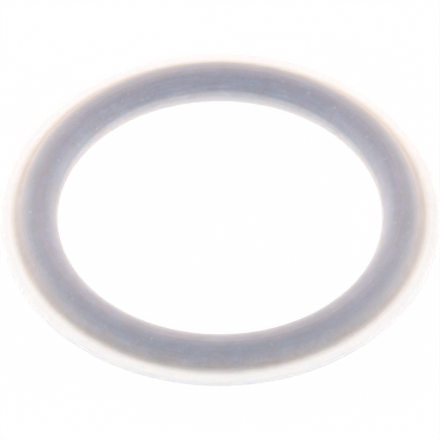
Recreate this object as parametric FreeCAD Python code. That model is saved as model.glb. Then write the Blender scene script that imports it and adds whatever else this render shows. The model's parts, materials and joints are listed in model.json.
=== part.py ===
import FreeCAD, Part
import math
import os

# Coupling gasket: one moulded ring, a round sealing bead with a thin flat flange around it.
# The ring's axis is Z, and Z = 0 is the surface that the gasket lies on.
# Every size is in millimetres.

# Driving sizes
BORE_D = 50.0          # hole through the ring, across the bead's inmost line
BEAD_D = 6.2           # thickness of the round bead
FLANGE_W = 2.6         # how far the flange reaches out past the bead
FLANGE_T = 1.0         # thickness of the flange, at the bead's mid-height
ROOT_RISE = 1.05       # height over the flange's face at which the straight root leaves the bead
ROOT_REACH = 0.7       # how far past the bead's side the root runs out on the flange
RIM_CHAMFER = 0.15     # broken edges of the flange's rim
MOULD_LINE_W = 0.35    # width of the fine ridges that the mould's joints leave on the bead
MOULD_LINE_H = 0.02    # how far such a ridge stands proud of the bead

# The most of the flange's thickness that its two broken edges may take together
RIM_BROKEN_SHARE = 0.8

# Sizes that follow
bead_r = BEAD_D / 2
bead_circle_r = BORE_D / 2 + bead_r
rim_r = BORE_D / 2 + BEAD_D + FLANGE_W
mid_z = bead_r + MOULD_LINE_H
flange_half = FLANGE_T / 2
rim_chamfer = min(RIM_CHAMFER, flange_half * RIM_BROKEN_SHARE)

# Angles round the bead's section, from straight outwards, up over the top and in to the bore
TOP_SIDE = math.pi / 2
BORE_SIDE = math.pi
root_angle = math.asin((flange_half + ROOT_RISE) / bead_r)
mould_line_angle = math.asin(MOULD_LINE_W / 2 / bead_r)


def line(start, end):
    return Part.LineSegment(start, end).toShape()


def half_outline(side):
    """The upper (side 1) or lower (side -1) half of the section, from the bore out to the rim's wall."""

    def point(radius, up):
        return FreeCAD.Vector(radius, 0, mid_z + side * up)

    def on_bead(angle, proud=0):
        from_centre = bead_r + proud
        return point(bead_circle_r + from_centre * math.cos(angle), from_centre * math.sin(angle))

    def bead_stretch(start_angle, end_angle):
        middle = (start_angle + end_angle) / 2
        return Part.Arc(on_bead(start_angle), on_bead(middle), on_bead(end_angle)).toShape()

    bore_ridge = on_bead(BORE_SIDE, MOULD_LINE_H)
    top_ridge = on_bead(TOP_SIDE, MOULD_LINE_H)
    root_foot = point(bead_circle_r + bead_r + ROOT_REACH, flange_half)
    face_end = point(rim_r - rim_chamfer, flange_half)
    wall_end = point(rim_r, flange_half - rim_chamfer)
    edges = [
        line(bore_ridge, on_bead(BORE_SIDE - mould_line_angle)),
        bead_stretch(BORE_SIDE - mould_line_angle, TOP_SIDE + mould_line_angle),
        line(on_bead(TOP_SIDE + mould_line_angle), top_ridge),
        line(top_ridge, on_bead(TOP_SIDE - mould_line_angle)),
        bead_stretch(TOP_SIDE - mould_line_angle, root_angle),
        line(on_bead(root_angle), root_foot),
        line(root_foot, face_end),
        line(face_end, wall_end),
    ]
    return edges, wall_end


def ring_section():
    """The gasket's whole section, as one face on the plane through the axis."""
    upper, upper_wall_end = half_outline(1)
    lower, lower_wall_end = half_outline(-1)
    rim_wall = line(upper_wall_end, lower_wall_end)
    outline = Part.Wire(upper + [rim_wall] + lower[::-1])
    return Part.Face(outline)


def gasket_ring():
    """The section turned once round the ring's axis."""
    centre = FreeCAD.Vector(0, 0, 0)
    axis = FreeCAD.Vector(0, 0, 1)
    return ring_section().revolve(centre, axis, 360)


os.makedirs("parts", exist_ok=True)
ring = gasket_ring()
ring.exportStep("parts/gasket_ring.step")
print("gasket_ring: valid", ring.isValid(), "solids", len(ring.Solids), "volume", round(ring.Volume, 1))
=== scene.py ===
import json
import math

import bmesh
import bpy
from mathutils import Color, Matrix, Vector


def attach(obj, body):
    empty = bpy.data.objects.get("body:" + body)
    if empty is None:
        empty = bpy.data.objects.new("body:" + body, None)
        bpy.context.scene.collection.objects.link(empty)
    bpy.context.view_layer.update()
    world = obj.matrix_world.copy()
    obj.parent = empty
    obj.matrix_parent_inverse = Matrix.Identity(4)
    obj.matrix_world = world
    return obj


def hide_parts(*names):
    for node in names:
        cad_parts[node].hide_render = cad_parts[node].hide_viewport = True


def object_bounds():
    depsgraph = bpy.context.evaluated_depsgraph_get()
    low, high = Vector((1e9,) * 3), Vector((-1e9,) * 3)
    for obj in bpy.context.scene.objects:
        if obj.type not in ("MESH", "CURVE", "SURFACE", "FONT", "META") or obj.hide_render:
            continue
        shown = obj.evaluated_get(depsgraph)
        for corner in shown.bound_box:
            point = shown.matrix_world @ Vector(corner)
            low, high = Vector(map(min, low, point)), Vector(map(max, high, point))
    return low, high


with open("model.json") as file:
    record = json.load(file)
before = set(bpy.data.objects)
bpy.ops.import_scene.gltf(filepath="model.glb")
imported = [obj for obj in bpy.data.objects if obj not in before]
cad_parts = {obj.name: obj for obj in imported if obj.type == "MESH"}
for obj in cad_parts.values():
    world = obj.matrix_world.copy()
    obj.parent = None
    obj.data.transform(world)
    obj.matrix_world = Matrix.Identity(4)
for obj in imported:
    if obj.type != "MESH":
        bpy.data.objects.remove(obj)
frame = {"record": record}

cad_low, cad_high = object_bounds()

# Sizes of the gasket, in metres. The rest of them come from the frame.
BORE_R = 0.025
BEAD_R = 0.0031
ROOT_RISE = 0.00105
ROOT_REACH = 0.0007
MOULD_LINE_W = 0.00035

# How far each rounding of a crease reaches to either side of it
ROOT_FOOT_ROUND = 0.0003
ROOT_TOP_ROUND = 0.0004
RIM_EDGE_ROUND = 0.00006
MOULD_LINE_ROUND = 0.00005

# The bead's outline runs straight beside the root's top, for this share of the rounding there,
# so that the rounding has one wide face to cut into
ROOT_TOP_ROOM = 1.1

mounts = {mount["name"]: mount for mount in frame["record"]["mounts"]}
rim_r = cad_high.x
mid_z = (cad_low.z + cad_high.z) / 2
flange_half = mounts["flange_top"]["pos_m"][2] - mid_z
rim_chamfer = flange_half - mounts["rim"]["dims"]["length_mm"] / 1000 / 2
bead_circle_r = BORE_R + BEAD_R
mould_line_h = cad_high.z - mid_z - BEAD_R
mould_line_angle = math.asin(MOULD_LINE_W / 2 / BEAD_R)
root_angle = math.asin((flange_half + ROOT_RISE) / BEAD_R)
root_blend_angle = ROOT_TOP_ROOM * ROOT_TOP_ROUND / BEAD_R
root_foot_r = bead_circle_r + BEAD_R + ROOT_REACH
flange_from = root_foot_r + ROOT_FOOT_ROUND

# How finely the ring, the round of its bead and the roundings of its creases are divided
RING_STEPS = 480
BEAD_STEP_ANGLE = math.radians(4)
ROOT_FOOT_STEPS = 4
ROOT_TOP_STEPS = 5
FINE_EDGE_STEPS = 2

# Points that lie this close together, in metres, are one, or lie on one circle
ONE_POINT = 1e-7
ONE_CIRCLE = 1e-6

# Angles round the bead's section, from straight outwards, up over the top and in to the bore
TOP_SIDE = math.pi / 2
BORE_SIDE = math.pi


class SectionPen:
    """Draws the ring's section in the XZ plane, from one point to the next."""

    def __init__(self, bm, start):
        self.bm = bm
        self.last = bm.verts.new(start)
        self.first = self.last

    def line_to(self, point):
        made = bmesh.ops.extrude_vert_indiv(self.bm, verts=[self.last])
        self.last = made["verts"][0]
        self.last.co = point

    def round_to(self, centre, angle):
        """Turns the last point about centre, by an angle that is positive from +X towards +Z."""
        steps = max(2, round(abs(angle) / BEAD_STEP_ANGLE))
        made = bmesh.ops.spin(
            self.bm, geom=[self.last], cent=centre, axis=(0, -1, 0), angle=angle, steps=steps
        )
        self.last = next(v for v in made["geom_last"] if isinstance(v, bmesh.types.BMVert))

    def close(self):
        bmesh.ops.contextual_create(self.bm, geom=[self.last, self.first])


def section_point(radius, up):
    return Vector((radius, 0, mid_z + up))


def on_bead(angle, proud=0.0):
    from_centre = BEAD_R + proud
    return section_point(bead_circle_r + from_centre * math.cos(angle), from_centre * math.sin(angle))


def draw_section(bm):
    """The bead, its straight roots, the flange and the ridges that the mould leaves."""
    centre = section_point(bead_circle_r, 0)
    round_from = root_angle + root_blend_angle
    pen = SectionPen(bm, on_bead(root_angle))
    pen.line_to(on_bead(round_from))
    turned = round_from
    for side in (TOP_SIDE, BORE_SIDE, TOP_SIDE + BORE_SIDE):
        pen.round_to(centre, side - mould_line_angle - turned)
        pen.line_to(on_bead(side, mould_line_h))
        pen.line_to(on_bead(side + mould_line_angle))
        turned = side + mould_line_angle
    pen.round_to(centre, 2 * math.pi - round_from - turned)
    pen.line_to(on_bead(-root_angle))
    pen.line_to(section_point(root_foot_r, -flange_half))
    pen.line_to(section_point(rim_r - rim_chamfer, -flange_half))
    pen.line_to(section_point(rim_r, -flange_half + rim_chamfer))
    pen.line_to(section_point(rim_r, flange_half - rim_chamfer))
    pen.line_to(section_point(rim_r - rim_chamfer, flange_half))
    pen.line_to(section_point(root_foot_r, flange_half))
    pen.close()


def edges_round(bm, radius, height):
    """The edges of the ring's circle at that radius and height."""

    def lies_on(vert):
        off_radius, off_height = abs(vert.co.xy.length - radius), abs(vert.co.z - height)
        return max(off_radius, off_height) < ONE_CIRCLE

    return [edge for edge in bm.edges if all(lies_on(vert) for vert in edge.verts)]


def soften(bm, point, reach, steps):
    """Rounds the crease that one point of the section leaves round the ring."""
    bmesh.ops.bevel(
        bm, geom=edges_round(bm, point.x, point.z), offset=reach, offset_type="OFFSET",
        affect="EDGES", segments=steps, profile=0.5, material=-1,
    )


def soften_creases(bm):
    for side in (1, -1):
        soften(bm, section_point(root_foot_r, side * flange_half), ROOT_FOOT_ROUND, ROOT_FOOT_STEPS)
        soften(bm, on_bead(side * root_angle), ROOT_TOP_ROUND, ROOT_TOP_STEPS)
        wall_end = section_point(rim_r, side * (flange_half - rim_chamfer))
        face_end = section_point(rim_r - rim_chamfer, side * flange_half)
        soften(bm, wall_end, RIM_EDGE_ROUND, FINE_EDGE_STEPS)
        soften(bm, face_end, RIM_EDGE_ROUND, FINE_EDGE_STEPS)
        soften(bm, on_bead(side * TOP_SIDE, mould_line_h), MOULD_LINE_ROUND, FINE_EDGE_STEPS)
    soften(bm, on_bead(BORE_SIDE, mould_line_h), MOULD_LINE_ROUND, FINE_EDGE_STEPS)


def gasket_mesh():
    """The section turned round the axis. Its finishes count outwards: bore side, outer side, flange."""
    bm = bmesh.new()
    draw_section(bm)
    section = bm.verts[:] + bm.edges[:]
    bmesh.ops.spin(
        bm, geom=section, cent=(0, 0, 0), axis=(0, 0, 1), angle=2 * math.pi,
        steps=RING_STEPS, use_merge=True,
    )
    bmesh.ops.remove_doubles(bm, verts=bm.verts[:], dist=ONE_POINT)
    bmesh.ops.recalc_face_normals(bm, faces=bm.faces[:])
    soften_creases(bm)
    for face in bm.faces:
        face.smooth = True
        from_axis = face.calc_center_median().xy.length
        face.material_index = int(from_axis > bead_circle_r) + int(from_axis > flange_from)
    mesh = bpy.data.meshes.new("gasket_body")
    bm.to_mesh(mesh)
    bm.free()
    return mesh


class NodeBench:
    """Adds nodes to one material or world and joins them up."""

    def __init__(self, tree):
        self.tree = tree

    def add(self, kind, inputs=None, **settings):
        """Adds a node. Each input is a plain value, or the output that feeds it."""
        node = self.tree.nodes.new(kind)
        for name, value in settings.items():
            setattr(node, name, value)
        for name, value in (inputs or {}).items():
            self.feed(node.inputs[name], value)
        return node

    def feed(self, socket, value):
        if isinstance(value, bpy.types.NodeSocket):
            self.tree.links.new(value, socket)
        else:
            socket.default_value = value

    def math(self, operation, *values):
        node = self.add("ShaderNodeMath", dict(enumerate(values)), operation=operation)
        return node.outputs[0]

    def span(self, value, low, high, out_low, out_high):
        """Carries a value from one range over to another, and stops at that one's ends."""
        node = self.add("ShaderNodeMapRange", {
            "Value": value, "From Min": low, "From Max": high, "To Min": out_low, "To Max": out_high,
        })
        return node.outputs["Result"]

    def noise(self, place, size, detail, roughness=0.5):
        """Soft noise from 0 to 1, whose blotches are about size metres across."""
        node = self.add("ShaderNodeTexNoise", {
            "Vector": place, "Scale": 1 / size, "Detail": detail, "Roughness": roughness,
        })
        return node.outputs["Fac"]

    def tones(self, value, stops):
        """Colours along a value from 0 to 1."""
        node = self.add("ShaderNodeValToRGB", {"Fac": value})
        elements = node.color_ramp.elements
        while len(elements) < len(stops):
            elements.new(1)
        for element, (position, colour) in zip(elements, stops):
            element.position = position
            element.color = tone(*colour)
        return node.outputs["Color"]

    def mix(self, factor, first, second, blend_type="MIX"):
        node = self.add("ShaderNodeMix", data_type="RGBA", blend_type=blend_type)
        for name, value in (("Factor_Float", factor), ("A_Color", first), ("B_Color", second)):
            self.feed(next(socket for socket in node.inputs if socket.identifier == name), value)
        return next(socket for socket in node.outputs if socket.identifier == "Result_Color")


def tone(red, green, blue):
    """A colour from 0 to 255, as on a screen, turned into what a shader takes."""
    colour = Color((red / 255, green / 255, blue / 255)).from_srgb_to_scene_linear()
    return (*colour, 1)


# The silicone's colours, each at a distance from the ring's axis in millimetres: blue-grey where
# the bead is thick, warmer down its outer flank and almost white where the flange is thin. The
# bloom on the skin makes the bead look paler and warmer than they are.
BORE_SIDE_TONES = (
    (25.0, (153, 161, 178)),
    (25.2, (100, 116, 144)),
    (25.8, (99, 114, 143)),
    (27.0, (86, 98, 129)),
    (28.1, (96, 99, 127)),
)
OUTER_SIDE_TONES = (
    (28.1, (76, 96, 131)),
    (29.2, (70, 98, 134)),
    (30.2, (87, 111, 143)),
    (30.8, (110, 123, 149)),
    (31.4, (123, 130, 140)),
    (31.7, (161, 164, 172)),
    (31.95, (198, 208, 210)),
    (32.2, (220, 217, 218)),
)
FLANGE_TONES = (
    (32.2, (229, 229, 224)),
    (32.6, (240, 239, 237)),
    (33.5, (239, 241, 241)),
    (33.75, (217, 221, 224)),
)


def distance_from_axis(bench, place):
    flat_place = bench.add("ShaderNodeVectorMath", {0: place, 1: (1, 1, 0)}, operation="MULTIPLY")
    node = bench.add("ShaderNodeVectorMath", {0: flat_place.outputs[0]}, operation="LENGTH")
    return node.outputs["Value"]


def height_over_table(bench, place):
    return bench.add("ShaderNodeSeparateXYZ", {0: place}).outputs["Z"]


def thickness_tones(bench, place, tones):
    """The silicone's colour, which follows how thick the ring is at each distance from its axis."""
    across = bench.span(distance_from_axis(bench, place), BORE_R, rim_r, 0, 1)
    width_mm = (rim_r - BORE_R) * 1000
    stops = [((at_mm - BORE_R * 1000) / width_mm, colour) for at_mm, colour in tones]
    return bench.tones(across, stops)


def painted_table_light_in_lower_bore(bench, place, colour):
    """Painted light: in the bore the silicone is painted paler below the joint of the mould's halves,
    in place of the light that the white table throws up into the lower bore.
    """
    # The painted light's pale tone, and how far from the bore it is full and where it is gone
    pale, full_from_bore, none_from_bore = tone(209, 217, 223), 0.0004, 0.0016
    below = bench.span(height_over_table(bench, place), mid_z, mid_z - BEAD_R / 2, 0, 1)
    from_axis = distance_from_axis(bench, place)
    in_bore = bench.span(from_axis, BORE_R + full_from_bore, BORE_R + none_from_bore, 1, 0)
    return bench.mix(bench.math("MULTIPLY", below, in_bore), colour, pale)


def flow_streaks(bench, place):
    """Faint streaks round the ring, as the silicone flowed in the mould."""
    length, width = 0.005, 0.0004
    flat_place = bench.add("ShaderNodeVectorMath", {0: place, 1: (1, 1, 0)}, operation="MULTIPLY")
    direction = bench.add("ShaderNodeVectorMath", {0: flat_place.outputs[0]}, operation="NORMALIZE")
    round_ring = bench.add("ShaderNodeVectorMath", {
        0: direction.outputs[0], "Scale": bead_circle_r / length,
    }, operation="SCALE")
    rise = bench.math("DIVIDE", height_over_table(bench, place), width)
    upwards = bench.add("ShaderNodeCombineXYZ", {"Z": rise})
    streak_place = bench.add("ShaderNodeVectorMath", {
        0: round_ring.outputs[0], 1: upwards.outputs[0],
    }, operation="ADD")
    outwards = bench.math("DIVIDE", distance_from_axis(bench, place), width)
    node = bench.add("ShaderNodeTexNoise", {
        "Vector": streak_place.outputs[0], "W": outwards, "Scale": 1.0, "Detail": 2.0, "Roughness": 0.6,
    }, noise_dimensions="4D")
    return node.outputs["Fac"]


def bead_share(bench, place):
    """1 in the bead, and little on the flange, where the silicone is too thin to look uneven."""
    fades_from, flange_share = 0.0312, 0.15
    return bench.span(distance_from_axis(bench, place), fades_from, flange_from, 1, flange_share)


# Nearly all values of a noise lie between these
NOISE_LOW = 0.35
NOISE_HIGH = 0.65


def unevenness(bench, noise, in_bead, colour, least, most):
    """The colour times a shade between two others, which follows a noise."""
    shade = bench.mix(bench.span(noise, NOISE_LOW, NOISE_HIGH, 0, 1), (*least, 1), (*most, 1))
    return bench.mix(in_bead, colour, bench.mix(1.0, colour, shade, "MULTIPLY"))


def milky_clouds(bench, place, streaks, in_bead, colour):
    """Uneven milkiness of every size, some of it bluer and some warmer, mostly in the bead."""
    cloud_size, hue_size = 0.004, 0.002
    milk = bench.noise(place, cloud_size, 7, 1.0)
    colour = unevenness(bench, milk, in_bead, colour, (0.69, 0.7, 0.71), (1.31, 1.3, 1.29))
    aside = bench.add("ShaderNodeVectorMath", {0: place, 1: (0.7, 0.3, 0.5)}, operation="ADD")
    warmth = bench.noise(aside.outputs[0], hue_size, 4, 0.8)
    colour = unevenness(bench, warmth, in_bead, colour, (0.9, 1.04, 1.05), (1.11, 0.96, 0.96))
    return unevenness(bench, streaks, in_bead, colour, (0.91, 0.91, 0.91), (1.09, 1.09, 1.09))


def specks(bench, place, in_bead, colour):
    """Tiny bubbles under the skin, each a pale ring of painted highlight round a dark middle of painted
    shade, and a few dark grains among them.

    One lies in each cell of a millimetre. Three chances settle how strong it is, whether it is a
    bubble or a grain, and how large."""
    cell_size, grain_share, strongest = 0.001, 0.3, 0.26
    # middle and pale are a bubble's painted shade and painted highlight; grain is the dark grains' own
    # colour
    grain, middle, pale = tone(52, 60, 84), tone(80, 88, 112), tone(196, 202, 216)
    cells = bench.add("ShaderNodeTexVoronoi", {"Vector": place, "Scale": 1 / cell_size})
    chance = bench.add("ShaderNodeSeparateColor", {0: cells.outputs["Color"]}).outputs
    size = bench.span(chance[2], 0, 1, 0.5, 1.5)
    from_middle = bench.math("DIVIDE", cells.outputs["Distance"], size)
    near = bench.span(from_middle, 0.08, 0.24, 1, 0)
    bubble = bench.mix(bench.span(from_middle, 0.05, 0.09, 0, 1), middle, pale)
    speck = bench.mix(bench.math("GREATER_THAN", chance[1], grain_share), grain, bubble)
    strength = bench.math("MULTIPLY", in_bead, bench.span(chance[0], 0.2, 1, 0, strongest))
    return bench.mix(bench.math("MULTIPLY", near, strength), colour, speck)


# How light spreads under the silicone's skin: how deep in metres, which share of that in red, green
# and blue, how much it keeps its direction, and how little it bends at the skin
SPREAD_DEPTH = 0.003
SPREAD_BY_COLOUR = (1.0, 0.9, 0.8)
SPREAD_FORWARD = 0.8
SPREAD_IOR = 1.01

# The skin's own satin gloss, its grain in metres, and how strong and how deep its two bumps are
SILICONE_IOR = 1.41
GLOSS_LEVEL = 0.3
SMOOTHEST = 0.45
ROUGHEST = 0.58
GRAIN_SIZE = 0.0003
BUMP_STRENGTH = 0.3
BUMP_DEPTH = 0.00002


def silicone(name, tones, bloom, bloom_tint, bloom_roughness):
    """Silicone with a soft bloom on its skin, which is warm where the skin is seen aslant."""
    material = bpy.data.materials.new(name)
    material.use_nodes = True
    bench = NodeBench(material.node_tree)
    place = bench.add("ShaderNodeTexCoord").outputs["Object"]
    streaks = flow_streaks(bench, place)
    colour = thickness_tones(bench, place, tones)
    in_bead = bead_share(bench, place)
    colour = milky_clouds(bench, place, streaks, in_bead, colour)
    # painted light: the lower bore is painted paler, standing in for the table's light shining up into
    # it
    colour = painted_table_light_in_lower_bore(bench, place, colour)
    colour = specks(bench, place, in_bead, colour)
    grain = bench.noise(place, GRAIN_SIZE, 2)
    streak_bump = bench.add("ShaderNodeBump", {
        "Height": streaks, "Strength": BUMP_STRENGTH, "Distance": BUMP_DEPTH,
    })
    bump = bench.add("ShaderNodeBump", {
        "Height": grain, "Strength": BUMP_STRENGTH, "Distance": BUMP_DEPTH,
        "Normal": streak_bump.outputs["Normal"],
    })
    shader = material.node_tree.nodes["Principled BSDF"]
    bench.feed(shader.inputs["Base Color"], colour)
    bench.feed(shader.inputs["Normal"], bump.outputs["Normal"])
    bench.feed(shader.inputs["Roughness"], bench.span(grain, 0.3, 0.7, SMOOTHEST, ROUGHEST))
    shader.inputs["IOR"].default_value = SILICONE_IOR
    shader.inputs["Specular IOR Level"].default_value = GLOSS_LEVEL
    shader.subsurface_method = "RANDOM_WALK_SKIN"
    shader.inputs["Subsurface Weight"].default_value = 1.0
    shader.inputs["Subsurface Radius"].default_value = SPREAD_BY_COLOUR
    shader.inputs["Subsurface Scale"].default_value = SPREAD_DEPTH
    shader.inputs["Subsurface IOR"].default_value = SPREAD_IOR
    shader.inputs["Subsurface Anisotropy"].default_value = SPREAD_FORWARD
    shader.inputs["Sheen Weight"].default_value = bloom
    shader.inputs["Sheen Roughness"].default_value = bloom_roughness
    shader.inputs["Sheen Tint"].default_value = (*bloom_tint, 1)
    return material


def add_gasket():
    ring = bpy.data.objects.new("gasket_body", gasket_mesh())
    bpy.context.scene.collection.objects.link(ring)
    for finish in (
        silicone("bore_side_silicone", BORE_SIDE_TONES, 1.0, (0.92, 0.82, 0.76), 0.85),
        silicone("outer_side_silicone", OUTER_SIDE_TONES, 1.0, (1.0, 0.825, 0.71), 0.88),
        silicone("thin_silicone", FLANGE_TONES, 0.44, (0.97, 0.82, 0.76), 0.83),
    ):
        ring.data.materials.append(finish)
    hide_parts("gasket_ring")
    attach(ring, "root")


# The camera, from the photograph's ellipses. Pixels count from the middle of the first one.
# The focal length is in pixels, the sensor's width in millimetres and the rest in metres.
PHOTO_SIZE = 440
PHOTO_FOCAL = 4197
RING_CENTRE_PX = (219.4, 213.86)
CAMERA_ELEVATION = math.radians(48.43)
CAMERA_DISTANCE = 0.646
NEAREST_SEEN = 0.01
FARTHEST_SEEN = 20
SENSOR = 36


def add_camera():
    data = bpy.data.cameras.new("camera")
    data.sensor_width = SENSOR
    data.lens = PHOTO_FOCAL * SENSOR / PHOTO_SIZE
    camera = bpy.data.objects.new("camera", data)
    bpy.context.scene.collection.objects.link(camera)
    bpy.context.scene.camera = camera
    back = Vector((0, -math.cos(CAMERA_ELEVATION), math.sin(CAMERA_ELEVATION)))
    right = Vector((1, 0, 0))
    up = back.cross(right)
    middle = (PHOTO_SIZE - 1) / 2
    metres_per_px = CAMERA_DISTANCE / PHOTO_FOCAL
    ring_centre = Vector((0, 0, mid_z))
    camera.location = ring_centre + back * CAMERA_DISTANCE
    target = ring_centre + right * (middle - RING_CENTRE_PX[0]) * metres_per_px
    target -= up * (middle - RING_CENTRE_PX[1]) * metres_per_px
    camera.rotation_euler = (target - camera.location).to_track_quat("-Z", "Y").to_euler()
    data.clip_start = NEAREST_SEEN
    data.clip_end = FARTHEST_SEEN


def seen_directly(bench):
    """1 for what the camera sees, straight or in reflections and refractions, and 0 for lighting."""
    path = bench.add("ShaderNodeLightPath").outputs
    plain = bench.math("MAXIMUM", path["Is Camera Ray"], path["Is Glossy Ray"])
    return bench.math("MAXIMUM", plain, path["Is Transmission Ray"])


# The table: how pale its matt side is, how much of its light comes from within, how much of the
# plain white covers its shadows for the camera, and how wide it is in metres
TABLE_GREY = 0.9
GLOW_FROM_WITHIN = 0.5
WHITE_COVER = 0.95
TABLE_WIDTH = 8


def white_table():
    """White where it is looked at, a pale matt sheet with a glow to the light, clear from below."""
    material = bpy.data.materials.new("white_table")
    material.use_nodes = True
    material.node_tree.nodes.clear()
    bench = NodeBench(material.node_tree)
    matt = bench.add("ShaderNodeBsdfDiffuse", {"Color": (TABLE_GREY, TABLE_GREY, TABLE_GREY, 1)})
    glow = bench.add("ShaderNodeEmission", {"Color": (1, 1, 1, 1), "Strength": 1.0}).outputs[0]
    sheet = bench.add("ShaderNodeMixShader", {0: GLOW_FROM_WITHIN, 1: matt.outputs[0], 2: glow})
    cover = bench.math("MULTIPLY", seen_directly(bench), WHITE_COVER)
    top = bench.add("ShaderNodeMixShader", {0: cover, 1: sheet.outputs[0], 2: glow})
    clear = bench.add("ShaderNodeBsdfTransparent")
    path = bench.add("ShaderNodeLightPath")
    from_below = bench.add("ShaderNodeNewGeometry").outputs["Backfacing"]
    clear_share = bench.math("MULTIPLY", from_below, path.outputs["Is Camera Ray"])
    both = bench.add("ShaderNodeMixShader", {0: clear_share, 1: top.outputs[0], 2: clear.outputs[0]})
    bench.add("ShaderNodeOutputMaterial", {"Surface": both.outputs[0]})
    return material


def add_floor():
    bpy.ops.mesh.primitive_plane_add(size=TABLE_WIDTH, location=(0, 0, cad_low.z))
    floor = bpy.context.object
    floor.name = "floor"
    floor.data.materials.append(white_table())


# How bright the walls of the studio are as a light, where 1 is white
STUDIO_LEVEL = 0.23


def add_world():
    world = bpy.data.worlds.new("studio")
    bpy.context.scene.world = world
    world.use_nodes = True
    bench = NodeBench(world.node_tree)
    background = world.node_tree.nodes["Background"]
    background.inputs["Color"].default_value = (1, 1, 1, 1)
    strength = bench.span(seen_directly(bench), 0, 1, STUDIO_LEVEL, 1)
    bench.feed(background.inputs["Strength"], strength)


SOFTBOX_DISTANCE = 1.0
SOFTBOX_WIDTH = 0.6
SOFTBOX_HEIGHT = 0.3
WARM_WHITE = (1.0, 0.945, 0.92)
COOL_WHITE = (0.965, 1.0, 1.035)

# Each lamp's name, azimuth from the right to the back and elevation, both in degrees, level and
# colour. The level is how bright it makes a white surface that faces it.
SOFTBOXES = (
    ("right_softbox", 0, 10, 0.47, WARM_WHITE),
    ("left_softbox", 180, 10, 0.26, WARM_WHITE),
    ("back_right_softbox", 45, 18, 0.09, WARM_WHITE),
    ("back_left_softbox", 135, 18, 0.25, WARM_WHITE),
    ("front_left_softbox", 225, 18, 0.12, COOL_WHITE),
    ("back_softbox", 90, 45, 0.344, WARM_WHITE),
    ("front_softbox", 270, 45, 0.398, COOL_WHITE),
)


def add_softbox(name, azimuth, elevation, level, colour):
    data = bpy.data.lights.new(name, "AREA")
    data.shape = "RECTANGLE"
    data.size = SOFTBOX_WIDTH
    data.size_y = SOFTBOX_HEIGHT
    data.color = colour
    data.energy = level * math.pi ** 2 * SOFTBOX_DISTANCE ** 2
    lamp = bpy.data.objects.new(name, data)
    turn, rise = math.radians(azimuth), math.radians(elevation)
    level_way = Vector((math.cos(turn), math.sin(turn), 0))
    direction = level_way * math.cos(rise) + Vector((0, 0, math.sin(rise)))
    lamp.location = direction * SOFTBOX_DISTANCE
    lamp.rotation_euler = direction.to_track_quat("Z", "Y").to_euler()
    bpy.context.scene.collection.objects.link(lamp)


add_gasket()
add_camera()
add_floor()
add_world()
for softbox in SOFTBOXES:
    add_softbox(*softbox)

bpy.context.scene.view_settings.view_transform = "Standard"
